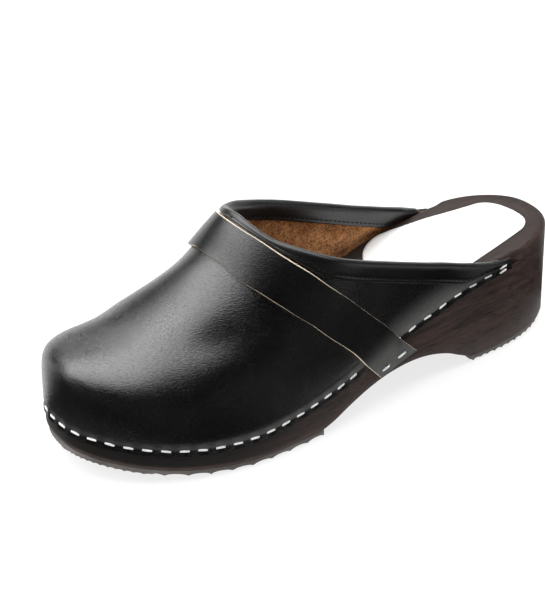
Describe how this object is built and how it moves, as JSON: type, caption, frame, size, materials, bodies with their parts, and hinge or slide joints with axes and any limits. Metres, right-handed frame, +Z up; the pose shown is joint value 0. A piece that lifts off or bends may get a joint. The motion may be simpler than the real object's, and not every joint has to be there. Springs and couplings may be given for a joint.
{
  "type": "clog",
  "caption": "Left clog: carved wooden sole with arch, heel and ribbed rubber treads, hollow leather vamp with low open-back wings, bound collar and a raw-edged instep strap.",
  "frame": {"origin": "on the floor, at the centre of the shoe's bounding box", "axes": "+X from heel to toe, +Y to the outer (little toe) side of this left shoe, +Z up"},
  "size_m": [0.2548, 0.0932, 0.0944],
  "materials": {
    "stained_wood": "dark stained, satin",
    "tread_rubber": "matte",
    "black_leather": "smooth, semi-gloss, fine grain",
    "binding_leather": "smooth, satin",
    "strap_leather": "smooth, semi-gloss, raw cut edges"
  },
  "bodies": {
    "root": {"wooden_sole": "stained_wood", "outsole_forefoot": "tread_rubber", "outsole_heel": "tread_rubber", "upper": "black_leather", "collar_binding": "binding_leather", "instep_strap": "strap_leather"}
  },
  "joints": []
}
